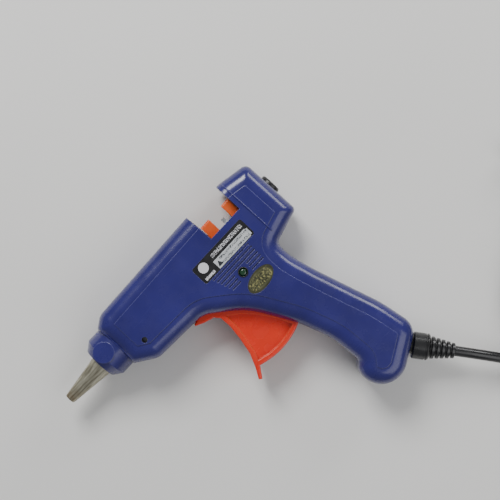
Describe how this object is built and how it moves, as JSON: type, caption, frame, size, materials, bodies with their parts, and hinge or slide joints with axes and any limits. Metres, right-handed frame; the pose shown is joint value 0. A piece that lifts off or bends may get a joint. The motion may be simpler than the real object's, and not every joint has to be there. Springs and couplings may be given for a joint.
{
  "type": "hot melt glue gun",
  "caption": "Small hot-melt glue gun for slim sticks: blue two-part pistol housing, metal cone nozzle, red-orange trigger that feeds an orange carriage, green lamp and black mains cord.",
  "frame": {"origin": "centre of the gun's footprint as it lies on its right side, on the surface under it, without its cord", "axes": "+X from the nozzle to the rear along the glue stick, +Y towards the gun's top in use, +Z out of its left side"},
  "size_m": [0.257, 0.2021, 0.0283],
  "materials": {
    "housing_blue": "moulded blue ABS, satin-gloss",
    "nozzle_metal": "turned and lightly heat-tinted metal",
    "chamber_metal": "as cast",
    "collar_plastic": "heat-proof phenolic",
    "ceramic": "PTC ceramic",
    "contact_brass": "plain strip",
    "insulation_film": "amber polyimide film",
    "silicone": "translucent white silicone",
    "spring_steel": "drawn wire and strip",
    "carriage_orange": "moulded orange nylon",
    "trigger_red": "moulded red-orange ABS",
    "bush_black": "moulded black",
    "lens_green": "tinted clear plastic",
    "lamp_white": "white plastic and glaze",
    "label_print": "printed gloss label",
    "seal_print": "printed foil sticker",
    "wire_brown": "silicone wire insulation",
    "wire_blue": "silicone wire insulation",
    "cord_black": "satin PVC",
    "plug_black": "moulded PVC",
    "pin_nickel": "nickel plated brass",
    "screw_zinc": "zinc plated",
    "tie_black": "soft strap"
  },
  "bodies": {
    "gun": {"left_housing": "housing_blue", "right_housing": "housing_blue", "housing_screws": "screw_zinc", "nozzle": "nozzle_metal", "nose_collar": "collar_plastic", "melt_chamber": "chamber_metal", "ptc_heater": "ceramic", "heater_electrodes": "contact_brass", "heater_insulation": "insulation_film", "heater_clip": "spring_steel", "inlet_sleeve": "silicone", "sleeve_clamp": "spring_steel", "stick_inlet_bush": "bush_black", "trigger_pivot_pin": "spring_steel", "return_spring": "spring_steel", "indicator_lens": "lens_green", "lamp_body": "lamp_white", "lamp_resistor": "lamp_white", "rating_label": "label_print", "seal_sticker": "seal_print", "live_wire": "wire_brown", "neutral_wire": "wire_blue", "crimp_connectors": "lamp_white", "strain_relief": "cord_black", "inner_cord": "cord_black", "cord_clamp": "bush_black", "clamp_screws": "screw_zinc", "power_cord": "cord_black", "cord_coil": "cord_black", "cord_tie": "tie_black", "plug_lead": "cord_black", "plug_body": "plug_black", "plug_pins": "pin_nickel"},
    "trigger": {"trigger": "trigger_red"},
    "carriage": {"feed_carriage": "carriage_orange", "jaw_pin": "spring_steel", "jaw_spring": "spring_steel"},
    "jaw": {"grip_jaw": "spring_steel"}
  },
  "joints": [
    {"name": "trigger_squeeze", "type": "hinge", "parent": "gun", "child": "trigger", "pos_m": [0.01645, 0.0236, 0.014], "axis": [0, 0, 1], "range_deg": [0, 18], "stiffness_Nm_per_rad": 0.8, "springref_deg": -14.32, "deforming": ["return_spring"]},
    {"name": "carriage_feed", "type": "slide", "parent": "gun", "child": "carriage", "axis": [-1, 0, 0], "range_m": [0, 0.0065]},
    {"name": "jaw_tilt", "type": "hinge", "parent": "carriage", "child": "jaw", "pos_m": [0.04175, 0.0384, 0.014], "axis": [0, 0, 1], "range_deg": [0, 6]}
  ],
  "couplings": [
    {"joint": "carriage_feed", "follows": "trigger_squeeze", "m_per_rad": 0.02067},
    {"joint": "jaw_tilt", "follows": "trigger_squeeze", "ratio": 0.333}
  ]
}
